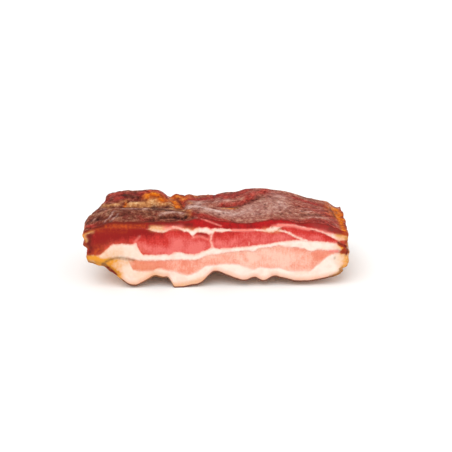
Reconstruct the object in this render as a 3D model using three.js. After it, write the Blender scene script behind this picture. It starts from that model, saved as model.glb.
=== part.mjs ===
// A slab of smoked pork belly, cut straight across at the front and the back.
//
// +X runs along the strip, +Y from the front cut face to the back one, +Z up.
// The slab lies on its folded rind. Every layer of fat and lean runs right through
// it from front to back and is a solid of its own. The rind is the skin of the
// back fat, and the smoked crust is the skin of the upper lean, so neither is a
// solid: their folds, rolls and creases are relief in those two layers.

import * as THREE from 'three';

// ---- driving dimensions, in millimetres ----

const LENGTH = 224;             // the strip, end to end
const DEPTH = 72;               // from the front cut face to the back one
const LAYER_GAP = 0.3;          // left open between two layers
const THINNEST_LAYER = 2.2;     // no layer that runs to the ends gets thinner
const FRONT_SKEW = 0.03;        // the front cut runs back this much per mm of length
const BACK_LEFT_CUT = 13;       // how far the back left corner is rounded away
const BACK_RIGHT_CUT = 0.8;
const LEFT_UNDERCUT = 4;        // how far the left end draws in from its top to its foot
const RIGHT_TAPER = 2.4;        // how far the right end draws in from its foot to its top
const END_BULGE = 0.6;          // both ends swell outwards at mid depth
const END_FOOT = 28;            // the ends' slants run between these two heights
const END_TOP = 52;
const END_REACH = 5;            // the higher, the nearer to the ends their shape stays
const SLAB_TOP = 57;

const COLUMNS = 60;             // facets along the strip

// Shares of the depth at which every layer has a row of points. The rind and the
// crust have more rows in between, on straight lines wherever they meet a layer.
const SHARED_ROWS = [0, 0.3, 0.6, 0.85, 1];

// ---- shapes along the strip ----
//
// A profile is a level and a list of swells. Each swell is a cosine hump, or a
// dip where its rise is negative, that fades out over its own reach to the left
// and to the right of where it stands.

// The rind hangs in six folds and lifts off the table at both ends.
const RIND = {
  level: 11,
  swells: [
    { at: -118, rise: 15, left: 20, right: 42 },
    { at: -98, rise: 2.2, left: 6, right: 6 },
    { at: -72, rise: -8.5, left: 20, right: 20 },
    { at: -46, rise: -1.8, left: 8, right: 8 },
    { at: -35, rise: -12.2, left: 9, right: 34 },
    { at: -14, rise: -3.5, left: 12, right: 12 },
    { at: -1, rise: 3.5, left: 14, right: 11 },
    { at: 23, rise: -5.5, left: 17, right: 13 },
    { at: 39, rise: -6.2, left: 11, right: 12 },
    { at: 71, rise: -7, left: 30, right: 46 },
    { at: 122, rise: 14, left: 22, right: 20 },
  ],
};

// What differs between the two cut faces. At the back the folds are shallower, but
// the rind sags until it lies flat on the table, and the layers have sunk a little,
// most of all at the right: the sinking is for the top, and less further down.
const NONE = { level: 0, swells: [] };
const FRONT_FACE = { foldsKept: 1, rindSags: NONE, layersSink: NONE };
const BACK_FACE = {
  foldsKept: 0.75,
  rindSags: {
    level: 0,
    swells: [
      { at: -74, rise: 6, left: 18, right: 18 },
      { at: -33, rise: 4, left: 10, right: 16 },
      { at: 76, rise: 10, left: 40, right: 34 },
    ],
  },
  layersSink: {
    level: 4,
    swells: [
      { at: -46, rise: 3, left: 12, right: 10 },
      { at: 118, rise: 6, left: 60, right: 20 },
    ],
  },
};

// The lower lean is a long lens in the fat, with a blunt left tip and a thin right one.
const LOWER_LEAN_TOP = {
  level: 26,
  swells: [
    { at: -84, rise: 3.5, left: 18, right: 20 },
    { at: -9, rise: 2, left: 9, right: 10 },
    { at: 4, rise: 2.5, left: 20, right: 26 },
    { at: 31, rise: -2.2, left: 6, right: 5 },
    { at: 48, rise: 10.5, left: 72, right: 120 },
    { at: 53, rise: 2.2, left: 9, right: 8 },
    { at: 79.5, rise: -2.6, left: 7, right: 6 },
  ],
};
const LOWER_LEAN = {
  leftTip: -78,
  leftBody: -72,
  rightBody: 82,
  rightTip: 104,
  thickness: 9,
  thinnest: 1.2,
  swells: [
    { at: -49, rise: -2, left: 8, right: 8 },
    { at: -26, rise: 4, left: 14, right: 16 },
    { at: 26, rise: 1.6, left: 12, right: 16 },
    { at: 66, rise: 12, left: 68, right: 36 },
  ],
};

// Over the middle fat: a flat-topped wedge at the left, a hollow under the first
// muscle, and a step up to the second one.
const MIDDLE_FAT_TOP = {
  level: 31.4,
  swells: [
    { at: -87, rise: 10.4, left: 16.5, right: 17.5 },
    { at: -69.5, rise: 10.4, left: 17.5, right: 7 },
    { at: -33, rise: 2.4, left: 10, right: 10 },
    { at: 70, rise: 6.5, left: 60, right: 64 },
  ],
};
const MUSCLE_STEP = { from: -20, to: -4, rise: 5.6 };

const MIDDLE_LEAN_TOP = {
  level: 52,
  swells: [
    { at: -116, rise: -4, left: 20, right: 20 },
    { at: -80, rise: 4.6, left: 42, right: 38 },
    { at: -35, rise: 3, left: 9, right: 10 },
    { at: -21, rise: -2.8, left: 4, right: 5 },
    { at: -5, rise: -3, left: 5, right: 5 },
    { at: 46, rise: -2.4, left: 12, right: 9 },
    { at: 58, rise: 3, left: 8, right: 24 },
    { at: 118, rise: -14, left: 40, right: 20 },
  ],
};
const UPPER_FAT_THICKNESS = {
  level: 3,
  swells: [
    { at: -48, rise: 4, left: 12, right: 13 },
    { at: -20, rise: 2, left: 10, right: 10 },
    { at: -6, rise: 4, left: 9, right: 9 },
    { at: 48, rise: 4.6, left: 12, right: 12 },
    { at: 110, rise: 4, left: 22, right: 20 },
  ],
};

// ---- the crust on top ----

const CRUST_FRONT_EDGE = {
  level: 61.5,
  swells: [
    { at: -118, rise: -7, left: 20, right: 36 },
    { at: -14, rise: 2.6, left: 16, right: 22 },
    { at: 24, rise: -1.8, left: 22, right: 20 },
    { at: 48, rise: 1.2, left: 12, right: 14 },
    { at: 70, rise: -2.2, left: 12, right: 16 },
    { at: 97, rise: 1.2, left: 12, right: 12 },
    { at: 122, rise: -12.5, left: 52, right: 20 },
  ],
};
const CRUST_BACK_EDGE = {
  level: 58.2,
  swells: [
    { at: -118, rise: -2, left: 20, right: 22 },
    { at: -92, rise: 1.2, left: 16, right: 22 },
    { at: -58, rise: 2.2, left: 26, right: 12 },
    { at: -30, rise: -3.6, left: 9, right: 34 },
    { at: -26, rise: 2.2, left: 8, right: 8 },
    { at: -4, rise: -1.5, left: 14, right: 14 },
    { at: 16, rise: -1.2, left: 9, right: 9 },
    { at: 34, rise: 3.6, left: 34, right: 44 },
    { at: 98, rise: 0.8, left: 20, right: 14 },
    { at: 107, rise: -9.6, left: 52, right: 40 },
    { at: 109, rise: -4.6, left: 12, right: 10 },
  ],
};

// Rolls and hollows of the crust. They fade like a bell: x and y are their centre,
// along and across their reach, as the distance at which a third is left.
const CRUST_ROLLS = [
  { rise: 4.8, x: -70, y: -21, along: 38, across: 11 },
  { rise: 2.6, x: -14, y: -19, along: 20, across: 11 },
  { rise: -3.0, x: -70, y: -1, along: 30, across: 5 },
  { rise: 4.2, x: -72, y: 20, along: 26, across: 11 },
  { rise: 2.6, x: 34, y: 9, along: 38, across: 22 },
  { rise: -1.8, x: 2, y: 0, along: 14, across: 4 },
];

// One deep crease runs in from the back, between the left lobe and the broad right part.
const CREASE = { from: [-46, 36], to: [-28, -6], depth: 4.6, halfWidth: 4.5 };
const BACK_EDGE_ROUNDING = 5;

// ---- helpers ----

const between = (low, value, high) => Math.min(high, Math.max(low, value));
const mix = (a, b, t) => a + (b - a) * t;

// 0 before start, 1 after end, and a smooth rise from one to the other.
function ease(start, end, value) {
  const t = between(0, (value - start) / (end - start), 1);
  return t * t * (3 - 2 * t);
}

function swell(x, { at, rise, left, right }) {
  const t = Math.abs(x - at) / (x < at ? left : right);
  return t < 1 ? rise * (0.5 + 0.5 * Math.cos(Math.PI * t)) : 0;
}

function profile({ level, swells }, x) {
  return swells.reduce((height, one) => height + swell(x, one), level);
}

function lowerLeanThickness(x) {
  const { leftTip, leftBody, rightBody, rightTip, thickness, swells } = LOWER_LEAN;
  const tips = ease(leftTip, leftBody, x) * (1 - ease(rightBody, rightTip, x));
  return tips * profile({ level: thickness, swells }, x);
}

// ---- the stack of layer boundaries ----

// The six boundaries over x on one cut face, from the rind up to the underside of
// the upper lean, each kept a thinnest layer above the one below.
function stackOn(face, x) {
  const { foldsKept, rindSags, layersSink } = face;
  const share = 1 - profile(layersSink, x) / SLAB_TOP;
  const step = MUSCLE_STEP.rise * ease(MUSCLE_STEP.from, MUSCLE_STEP.to, x);
  const rind = mix(RIND.level, profile(RIND, x), foldsKept) - profile(rindSags, x);
  const lensTop = Math.max(share * profile(LOWER_LEAN_TOP, x), rind + THINNEST_LAYER);
  const lensBottom = Math.max(lensTop - lowerLeanThickness(x), rind + THINNEST_LAYER);
  const fatTop = Math.max(share * (profile(MIDDLE_FAT_TOP, x) + step), lensTop + THINNEST_LAYER);
  const leanTop = Math.max(share * profile(MIDDLE_LEAN_TOP, x), fatTop + THINNEST_LAYER);
  return [rind, lensBottom, lensTop, fatTop, leanTop, leanTop + profile(UPPER_FAT_THICKNESS, x)];
}

// Height of one boundary; v goes from 0 on the front face to 1 on the back one.
function boundary(index, x, v) {
  return mix(stackOn(FRONT_FACE, x)[index], stackOn(BACK_FACE, x)[index], v);
}

function underside(x, v) {
  return Math.max(0, boundary(0, x, v));
}

function distanceToCrease(x, y) {
  const [ax, ay] = CREASE.from;
  const [bx, by] = CREASE.to;
  const run = (bx - ax) ** 2 + (by - ay) ** 2;
  const t = between(0, ((x - ax) * (bx - ax) + (y - ay) * (by - ay)) / run, 1);
  return Math.hypot(x - mix(ax, bx, t), y - mix(ay, by, t));
}

function crust(x, v) {
  const y = DEPTH * (v - 0.5);
  let z = mix(profile(CRUST_FRONT_EDGE, x), profile(CRUST_BACK_EDGE, x), ease(0, 1, v));
  for (const roll of CRUST_ROLLS) {
    const far = ((x - roll.x) / roll.along) ** 2 + ((y - roll.y) / roll.across) ** 2;
    z += roll.rise * Math.exp(-far);
  }
  z -= CREASE.depth * Math.exp(-((distanceToCrease(x, y) / CREASE.halfWidth) ** 2));
  const over = between(0, 1 - (DEPTH / 2 - y) / BACK_EDGE_ROUNDING, 1);
  z -= BACK_EDGE_ROUNDING * (1 - Math.sqrt(1 - 0.8 * over ** 2));
  return Math.max(z, boundary(5, x, v) + THINNEST_LAYER);
}

// ---- from strip coordinates to space ----

// How far the point x of the front face has moved along X at one of the shared rows.
// Only the ends move: the back corners are rounded, the ends slant and bulge.
function endShift(x, v, z) {
  const u = x / LENGTH + 0.5;
  const slant = ease(END_FOOT, END_TOP, z);
  const bulge = END_BULGE * (1 - (2 * v - 1) ** 2);
  const left = BACK_LEFT_CUT * ease(0.25, 0.88, v) + LEFT_UNDERCUT * (1 - slant) - bulge;
  const right = BACK_RIGHT_CUT * ease(0.5, 1, v) + RIGHT_TAPER * slant - bulge;
  return left * (1 - u) ** END_REACH - right * u ** END_REACH;
}

// x is the place along the front face, v the share of the depth, z the height.
function place(x, v, z) {
  const next = Math.max(1, SHARED_ROWS.findIndex((row) => row >= v));
  const [start, end] = [SHARED_ROWS[next - 1], SHARED_ROWS[next]];
  const shift = mix(endShift(x, start, z), endShift(x, end, z), (v - start) / (end - start));
  const y = DEPTH * (v - 0.5) + FRONT_SKEW * x * (1 - v);
  return new THREE.Vector3(x + shift, y, z);
}

// A closed solid between two height functions, over some columns and rows:
// a sheet below, a sheet above, and a wall of quads round the rim.
function layerGeometry(bottom, top, xs, vs) {
  const across = vs.length;
  const sheet = xs.length * across;
  const points = [];
  for (const height of [bottom, top]) {
    for (const x of xs) {
      for (const v of vs) points.push(place(x, v, height(x, v)));
    }
  }
  const at = (column, row) => column * across + row;
  const index = [];
  const quad = (a, b, c, d) => index.push(a, b, c, a, c, d);
  for (let i = 0; i + 1 < xs.length; i += 1) {
    for (let j = 0; j + 1 < across; j += 1) {
      const [a, b, c, d] = [at(i, j), at(i + 1, j), at(i + 1, j + 1), at(i, j + 1)];
      quad(d, c, b, a);
      quad(a + sheet, b + sheet, c + sheet, d + sheet);
    }
  }
  const wall = (a, b) => quad(a, b, b + sheet, a + sheet);
  for (let i = 0; i + 1 < xs.length; i += 1) {
    wall(at(i, 0), at(i + 1, 0));
    wall(at(i + 1, across - 1), at(i, across - 1));
  }
  for (let j = 0; j + 1 < across; j += 1) {
    wall(at(xs.length - 1, j), at(xs.length - 1, j + 1));
    wall(at(0, j + 1), at(0, j));
  }
  const geometry = new THREE.BufferGeometry().setFromPoints(points);
  geometry.setIndex(index);
  geometry.computeVertexNormals();
  return geometry;
}

// ---- the layers ----

const columns = Array.from({ length: COLUMNS + 1 }, (_, i) => LENGTH * (i / COLUMNS - 0.5));
const lensColumns = columns.filter((x) => {
  const [, low, high] = stackOn(FRONT_FACE, x);
  return high - low > LOWER_LEAN.thinnest + LAYER_GAP;
});

const RIND_ROWS = [0, 0.15, 0.3, 0.45, 0.6, 0.72, 0.85, 1];
const CRUST_ROWS = [0, 0.04, 0.1, 0.16, 0.23, 0.3, 0.37, 0.44, 0.52, 0.6, 0.68, 0.77, 0.85, 0.94, 1];

const above = (index) => (x, v) => boundary(index, x, v) + LAYER_GAP / 2;
const below = (index) => (x, v) => boundary(index, x, v) - LAYER_GAP / 2;

const LAYERS = [
  { name: 'back_fat_and_rind', from: underside, to: below(1), rows: RIND_ROWS, color: 0xf7e6d2 },
  { name: 'lower_lean', from: above(1), to: below(2), xs: lensColumns, color: 0xf0a890 },
  { name: 'middle_fat', from: above(2), to: below(3), color: 0xfdf1e0 },
  { name: 'middle_lean', from: above(3), to: below(4), color: 0xd9605c },
  { name: 'upper_fat', from: above(4), to: below(5), color: 0xf6dcc0 },
  { name: 'upper_lean_and_crust', from: above(5), to: crust, rows: CRUST_ROWS, color: 0x7d4a47 },
];

function makeLayer({ name, from, to, xs = columns, rows = SHARED_ROWS, color }) {
  const material = new THREE.MeshStandardMaterial({ color, roughness: 0.5, metalness: 0 });
  const mesh = new THREE.Mesh(layerGeometry(from, to, xs, rows), material);
  mesh.name = name;
  return mesh;
}

const slab = new THREE.Group();
slab.name = 'pork_belly_slab';
for (const layer of LAYERS) slab.add(makeLayer(layer));

// The origin is the middle of the slab's footprint, on the table.
const box = new THREE.Box3().setFromObject(slab);
const centre = box.getCenter(new THREE.Vector3());
for (const layer of slab.children) layer.geometry.translate(-centre.x, -centre.y, -box.min.z);

export default slab;
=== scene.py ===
# %% [markdown]
# # A slab of smoked pork belly
#
# The slab was cured, smoked, and cut straight across at the front and the back.
# From the table up it is rind and back fat, a pale lens of lean, white fat, red
# lean, a thin seam of fat, and a crimson lean whose outside is the smoked crust.
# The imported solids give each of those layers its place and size. This file gives
# each layer a fine skin in that same place, and a finish.

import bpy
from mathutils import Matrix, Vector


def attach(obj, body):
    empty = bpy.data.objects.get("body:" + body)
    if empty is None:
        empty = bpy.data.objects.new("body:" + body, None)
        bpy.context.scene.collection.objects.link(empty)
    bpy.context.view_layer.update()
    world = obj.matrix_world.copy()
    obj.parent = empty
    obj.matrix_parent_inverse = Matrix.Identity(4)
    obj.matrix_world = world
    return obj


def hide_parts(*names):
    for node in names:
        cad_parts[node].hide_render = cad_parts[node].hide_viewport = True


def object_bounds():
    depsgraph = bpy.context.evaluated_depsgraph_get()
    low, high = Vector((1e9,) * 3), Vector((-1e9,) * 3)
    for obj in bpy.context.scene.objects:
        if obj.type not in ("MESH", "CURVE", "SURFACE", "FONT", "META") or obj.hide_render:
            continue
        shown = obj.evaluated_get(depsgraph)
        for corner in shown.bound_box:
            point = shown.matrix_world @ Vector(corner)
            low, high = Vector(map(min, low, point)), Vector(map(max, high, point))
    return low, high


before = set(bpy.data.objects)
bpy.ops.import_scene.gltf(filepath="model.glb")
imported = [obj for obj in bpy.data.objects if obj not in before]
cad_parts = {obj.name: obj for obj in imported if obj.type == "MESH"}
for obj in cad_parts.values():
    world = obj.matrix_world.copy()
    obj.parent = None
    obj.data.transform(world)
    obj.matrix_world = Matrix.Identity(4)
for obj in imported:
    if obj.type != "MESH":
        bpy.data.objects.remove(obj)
cad_box = [list(corner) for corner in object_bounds()]

import functools
import itertools
import math

import bpy
import numpy as np

MM = 0.001
print("layers:", sorted(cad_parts))

# %% [markdown]
# ## Curves to build with
#
# Every form here is worked out from a few named sizes. Three small functions do
# it: a soft step, a blend of two values, and a profile, which is a level with
# swells on it. They could be drawn by hand as curves, but as functions they also
# tell at any point which layer one is in, and the finish needs to know that too.

# %% Soft steps and swells


def mix(low, high, share):
    """low where share is 0, high where share is 1, and in proportion between."""
    return low + (high - low) * share


def ease(start, end, value):
    """0 before start, 1 after end, with t·t·(3 - 2t) between, t being the share of the way."""
    t = np.clip((value - start) / (end - start), 0, 1)
    return t * t * (3 - 2 * t)


def profile(level, swells, along):
    """A level plus swells. A swell is (place, rise, reach left, reach right): half a
    cosine wave that is full at its place and gone at its reach."""
    height = np.full(np.shape(along), float(level))
    for place, rise, left, right in swells:
        t = np.abs(along - place) / np.where(along < place, left, right)
        height += np.where(t < 1, rise * (0.5 + 0.5 * np.cos(np.pi * t)), 0)
    return height


print("a soft step:", ease(0, 1, np.linspace(0, 1, 5)))

# %% [markdown]
# ## Unevenness
#
# Meat has no straight line in it. Value noise is the plainest way to get an
# unevenness that is the same at each run: random values on a square grid, eased
# from one crossing to the next. A few sizes of it on top of one another look
# like a surface that grew. The random values are seeded. A fold or a stain that
# has a place of its own is a brush mark: a line with soft sides.

# %% Seeded noise
NOISE_GRID = 64


def noise(a, b, seed):
    """Random values from -1 to 1 on whole numbers of a and b, eased in between. The grid
    of values repeats every 64 crossings."""
    values = np.random.default_rng(seed).uniform(-1, 1, (NOISE_GRID, NOISE_GRID))
    i, j = np.floor(a).astype(int), np.floor(b).astype(int)
    s, t = ease(0, 1, a - i), ease(0, 1, b - j)

    def corner(di, dj):
        return values[(i + di) % NOISE_GRID, (j + dj) % NOISE_GRID]

    return mix(mix(corner(0, 0), corner(1, 0), s), mix(corner(0, 1), corner(1, 1), s), t)


def rough(a, b, seed, layers=3):
    """Noise plus finer noise, each layer twice as fine and half as strong."""
    return sum(noise(a * 2**n, b * 2**n, seed + n) / 2**n for n in range(layers))


print("a stretch of noise:", rough(np.linspace(0, 2, 5), 0.5, seed=1).round(2))

# %% Brush marks


def distance(points, a, b):
    """Distance from (a, b) to the line through the points: on each stretch the nearest
    spot is where the point projects to, kept between the stretch's two ends."""
    near = np.full(np.broadcast(a, b).shape, np.inf)
    for (a0, b0), (a1, b1) in zip(points, points[1:] or points):
        run = max((a1 - a0) ** 2 + (b1 - b0) ** 2, 1e-9)
        t = np.clip(((a - a0) * (a1 - a0) + (b - b0) * (b1 - b0)) / run, 0, 1)
        near = np.minimum(near, np.hypot(a - mix(a0, a1, t), b - mix(b0, b1, t)))
    return near


def brush(marks, a, b):
    """What a list of brush marks adds up to. A mark is (amount, width, points): full on
    the line through its points, and amount·exp(-(d/width)²) at a distance d from it."""
    strokes = (amount * np.exp(-((distance(points, a, b) / width) ** 2))
               for amount, width, *points in marks)
    return sum(strokes, np.zeros(np.broadcast(a, b).shape))


print("a mark of strength 1, seen 0, 1 and 2 widths off:",
      brush([(1, 1, (0, 0))], np.arange(3.0), 0.0).round(2))

# %% [markdown]
# ## The stack of layers
#
# x runs along the strip in millimetres, v is the share of the depth from the
# front cut (0) to the back one (1), and z is the height. The borders between the
# layers are heights over x and v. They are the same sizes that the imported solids
# have, here with a little fraying, because fat grows into lean by small lobes.

# %% Sizes of the slab, in millimetres
LENGTH, DEPTH, SLAB_TOP = 224.0, 72.0, 57.0
FRONT_SKEW = 0.03
THINNEST_LAYER = 2.2
LEFT_END, RIGHT_END = -LENGTH / 2, LENGTH / 2

# the underside: six folds, and lifted off the table at both ends
RIND = 11, [(-118, 15, 20, 42), (-98, 2.2, 6, 6), (-72, -8.5, 20, 20), (-46, -1.8, 8, 8),
            (-35, -12.2, 9, 34), (-14, -3.5, 12, 12), (-1, 3.5, 14, 11), (23, -5.5, 17, 13),
            (39, -6.2, 11, 12), (71, -7, 30, 46), (122, 14, 22, 20)]
RIND_SAGS_AT_BACK = 0, [(-74, 6, 18, 18), (-33, 4, 10, 16), (76, 10, 40, 34)]
FOLDS_KEPT_AT_BACK = 0.75
LAYERS_SINK_AT_BACK = 4, [(-46, 3, 12, 10), (118, 6, 60, 20)]

# the pale lens of lean in the fat
LENS_TOP = 26, [(-84, 3.5, 18, 20), (-9, 2, 9, 10), (4, 2.5, 20, 26), (31, -2.2, 6, 5),
                (48, 10.5, 72, 120), (53, 2.2, 9, 8), (79.5, -2.6, 7, 6)]
LENS_THICKNESS = 9, [(-49, -2, 8, 8), (-26, 4, 14, 16), (26, 1.6, 12, 16), (66, 12, 68, 36)]
LENS_LEFT_TIP, LENS_LEFT_BODY, LENS_RIGHT_BODY, LENS_RIGHT_TIP = -78, -72, 82, 104

# the white fat, the red lean over it, and the seam of fat over that
WHITE_FAT_TOP = 31.4, [(-87, 10.4, 16.5, 17.5), (-69.5, 10.4, 17.5, 7), (-33, 2.4, 10, 10),
                       (70, 6.5, 60, 64)]
MUSCLE_STEP_FROM, MUSCLE_STEP_TO, MUSCLE_STEP = -20, -4, 5.6
RED_LEAN_TOP = 52, [(-116, -4, 20, 20), (-80, 4.6, 42, 38), (-35, 3, 9, 10), (-21, -2.8, 4, 5),
                    (-5, -3, 5, 5), (46, -2.4, 12, 9), (58, 3, 8, 24), (118, -14, 40, 20)]
SEAM_THICKNESS = 3, [(-48, 4, 12, 13), (-20, 2, 10, 10), (-6, 4, 9, 9), (48, 4.6, 12, 12),
                     (110, 4, 22, 20)]
# how much of the seam is fat to the eye, and how far it strays from the seam's middle;
# along the left it is stained like the lean
SEAM_SHOWN = 1.5, [(-48, 3.6, 13, 9), (-38, 0.8, 10, 12), (-20.5, 1.6, 4, 4),
                   (-14, 2.9, 24, 22), (-7, 2.0, 5, 6), (4, 1.6, 8, 9), (24, -0.8, 12, 10),
                   (47, 3.4, 9, 8), (66, -0.5, 14, 16), (104, 4.2, 14, 12)]
SEAM_STRAYS = 0, [(-46, -0.7, 8, 10), (-18, -0.8, 5, 4), (-9, -0.9, 5, 5), (62, 1.2, 14, 18)]
SEAM_STAIN_STARTS, SEAM_STAIN_ENDS, SEAM_STAIN_DEPTH = (-113, -99), (-53, -60), 0.6
# at its blunt left tip the lens turns from fat to lean by so many mm of depth per mm, and
# what it is short of lean at the very tip
LENS_FADE, LENS_TIP_SHORT = 0.26, 1.0
BORDER_FRAY, FRAY_LENGTH, FRAYS_ACROSS = 0.4, 9, 4
print("the slab is", LENGTH, "by", DEPTH, "mm, and the knife cut it up to", SLAB_TOP, "mm")

# %% Borders between the layers


def lens_body(x):
    """1 along the lens of lean, 0 beyond its two tips."""
    return ease(LENS_LEFT_TIP, LENS_LEFT_BODY, x) * (1 - ease(LENS_RIGHT_BODY, LENS_RIGHT_TIP, x))


def stack(x, at_back):
    """The six borders of one cut face over x, from the rind up to the seam's top. Each is
    kept at least the thinnest layer above the one below; the lens may be thinner."""
    share = 1 - profile(*LAYERS_SINK_AT_BACK, x) / SLAB_TOP if at_back else 1.0
    rind = profile(*RIND, x)
    if at_back:
        rind = mix(RIND[0], rind, FOLDS_KEPT_AT_BACK) - profile(*RIND_SAGS_AT_BACK, x)
    lens_top = np.maximum(share * profile(*LENS_TOP, x), rind + THINNEST_LAYER)
    thickness = lens_body(x) * profile(*LENS_THICKNESS, x)
    lens_low = np.maximum(lens_top - thickness, rind + THINNEST_LAYER)
    step = MUSCLE_STEP * ease(MUSCLE_STEP_FROM, MUSCLE_STEP_TO, x)
    fat_top = np.maximum(share * (profile(*WHITE_FAT_TOP, x) + step), lens_top + THINNEST_LAYER)
    lean_top = np.maximum(share * profile(*RED_LEAN_TOP, x), fat_top + THINNEST_LAYER)
    return [rind, lens_low, lens_top, fat_top, lean_top, lean_top + profile(*SEAM_THICKNESS, x)]


def fray(which, x, v):
    """Fray of a border: none on the rind, and beyond the lens's tips its lower border
    frays with its upper one, so that they stay together there."""
    if which == 0:
        return 0.0
    a, b = x / FRAY_LENGTH, v * FRAYS_ACROSS + which
    own = BORDER_FRAY * rough(a, b, seed=10 + which, layers=2)
    return mix(fray(2, x, v), own, lens_body(x)) if which == 1 else own


def border(which, x, v):
    """Height of one border: the front stack blended into the back one, plus its fray."""
    return mix(stack(x, False)[which], stack(x, True)[which], v) + fray(which, x, v)


print("borders in the middle of the front cut:", np.round(stack(0.0, False), 1))

# %% [markdown]
# ## The crust's form
#
# Smoking and drying drew the top together into rolls. The left half has a front
# roll, a groove behind it and a lobe at the back; a deep crease parts them from
# the right half, which is broad and only finely wrinkled. The large rolls are
# bells on an oval foot. The small folds are brush marks, and the wrinkles are
# noise pulled out along the strip, the way the muscle's grain runs.

# %% Large rolls of the crust
CRUST_FRONT_EDGE = 61.5, [(-118, -7, 20, 36), (-14, 2.6, 16, 22), (24, -1.8, 22, 20),
                          (48, 1.2, 12, 14), (70, -2.2, 12, 16), (97, 1.2, 12, 12),
                          (122, -12.5, 52, 20)]
CRUST_BACK_EDGE = 58.2, [(-118, -2, 20, 22), (-92, 1.2, 16, 22), (-58, 2.2, 26, 12),
                         (-30, -3.6, 9, 34), (-26, 2.2, 8, 8), (-4, -1.5, 14, 14),
                         (16, -1.2, 9, 9), (34, 3.6, 34, 44), (98, 0.8, 20, 14),
                         (107, -9.6, 52, 40), (109, -4.6, 12, 10)]
# (rise, x, y, reach along, reach across)
CRUST_ROLLS = [(4.8, -70, -21, 38, 11), (2.6, -14, -19, 20, 11), (-3.0, -70, -1, 30, 5),
               (4.2, -72, 20, 26, 11), (2.6, 34, 9, 38, 22), (-1.8, 2, 0, 14, 4)]
CREASE = (-4.6, 4.5, (-46, 36), (-28, -6))
BACK_EDGE_ROUNDING, ROUNDING_TURN = 5, 0.8
print(len(CRUST_ROLLS), "rolls and hollows, and one crease")

# %% Small folds, pits and wrinkles of the crust
cad_top = cad_box[1][2] / MM
# (rise, width, points in x and y)
CRUST_FOLDS = [
    (1, 2, (-50, -26), (-43, -24), (-36, -20), (-28, -23), (-24, -28)),
    (-1.6, 1.8, (-46, -30), (-36, -28), (-29, -31)), (-2, 1.6, (-26, -30)),
    (1, 2.6, (-60, -18), (-53, -13), (-46, -15)), (-0.9, 1.5, (-57, -9), (-50, -7)),
    (-1.6, 1.6, (-84, 1), (-81, 9)), (0.9, 2.4, (-108, -12), (-96, -18), (-84, -14)),
    (-0.8, 1.8, (-100, -24), (-90, -28), (-78, -27)),
    (0.8, 2.4, (-104, 22), (-92, 27), (-82, 25)), (-0.9, 1.8, (-78, 26), (-74, 18), (-70, 12)),
    (-0.8, 1.2, (-39, 27), (-35, 17), (-31, 8)), (-0.7, 1.6, (-3, 37), (-3, 20), (-6, 10)),
    (-1.2, 1.6, (-12, -4), (-5, -9), (0, -13)), (0.8, 1.6, (-14, -16), (-4, -17), (6, -20)),
    (0.9, 4.5, (6, 8), (13, 5), (21, 6), (28, 11), (36, 18), (42, 28)),
    (-0.8, 2.4, (3, 0), (12, -4), (20, -3), (28, 1), (36, 8), (41, 20)),
    (0.5, 1.6, (70, -14), (84, -10), (97, -3)), (0.5, 1.6, (76, -27), (88, -22), (98, -16)),
    (-0.5, 1.4, (72, -20), (86, -16), (100, -9)),
]
PITS = 46
PIT_DEPTH, PIT_WIDTH = 0.55, 1.1
WRINKLE_LENGTH, WRINKLE_WIDTH = 9.0, 3.2
WRINKLE_BEND, BEND_LENGTH, BEND_WIDTH = 2.5, 18, 14
LUMP_SIZE, CLEAR_OF_BOX = 5, 0.05
# the crust is crumpled up to the first place and smooth from the second one on
CRUMPLED_TO, SMOOTH_FROM = -34, -8
# how rough the wrinkles and the lumps are, in mm: on the smooth half, on the crumpled one
WRINKLES, LUMPS = (0.06, 0.55), (0.2, 0.35)
FIBROUS_FROM, FIBROUS_TO, FIBROUS_WRINKLES = 55, 78, 0.22
pit_draw = np.random.default_rng(7)
pit_places = np.stack([pit_draw.uniform(-16, 96, PITS), pit_draw.uniform(-30, 32, PITS)], 1)
CRUST_PITS = [(-PIT_DEPTH, PIT_WIDTH, tuple(place)) for place in pit_places]
print(len(CRUST_FOLDS), "folds and", len(CRUST_PITS), "pits")

# %% The top's height


def crumpled(x):
    """1 on the crumpled left half, 0 on the smooth right one, soft in between."""
    return 1 - ease(CRUMPLED_TO, SMOOTH_FROM, x)


def crust_relief(x, y):
    """Folds and pits as brush marks, plus wrinkles: noise that is stretched along x,
    strong on the crumpled left half, faint in the middle and fibrous at the right."""
    bend = WRINKLE_BEND * noise(x / BEND_LENGTH, y / BEND_WIDTH, seed=31)
    wrinkles = rough(x / WRINKLE_LENGTH, (y + bend) / WRINKLE_WIDTH, seed=32)
    fibrous = FIBROUS_WRINKLES * ease(FIBROUS_FROM, FIBROUS_TO, x)
    wrinkled = (mix(*WRINKLES, crumpled(x)) + fibrous) * wrinkles
    lumps = rough(x / LUMP_SIZE, y / LUMP_SIZE, seed=41, layers=2)
    lumpy = mix(*LUMPS, crumpled(x)) * lumps
    return brush(CRUST_FOLDS, x, y) + brush(CRUST_PITS, x, y) + (wrinkled + lumpy)


def crust(x, v):
    """Height of the top: the front edge eased into the back edge, the rolls, the crease,
    a rounded back edge, and the relief, which dies out at the box's highest point."""
    y = DEPTH * (v - 0.5)
    z = mix(profile(*CRUST_FRONT_EDGE, x), profile(*CRUST_BACK_EDGE, x), ease(0, 1, v))
    for rise, roll_x, roll_y, along, across in CRUST_ROLLS:
        z = z + rise * np.exp(-(((x - roll_x) / along) ** 2) - ((y - roll_y) / across) ** 2)
    z = z + brush([CREASE], x, y)
    over = np.clip(1 - (DEPTH / 2 - y) / BACK_EDGE_ROUNDING, 0, 1)
    z = z - BACK_EDGE_ROUNDING * (1 - np.sqrt(1 - ROUNDING_TURN * over**2)) + crust_relief(x, y)
    return np.maximum(np.minimum(z, cad_top - CLEAR_OF_BOX), border(5, x, v) + THINNEST_LAYER / 2)


print("crust in the middle, from the front edge to the back one:",
      crust(np.zeros(5), np.linspace(0, 1, 5)).round(1))

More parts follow.
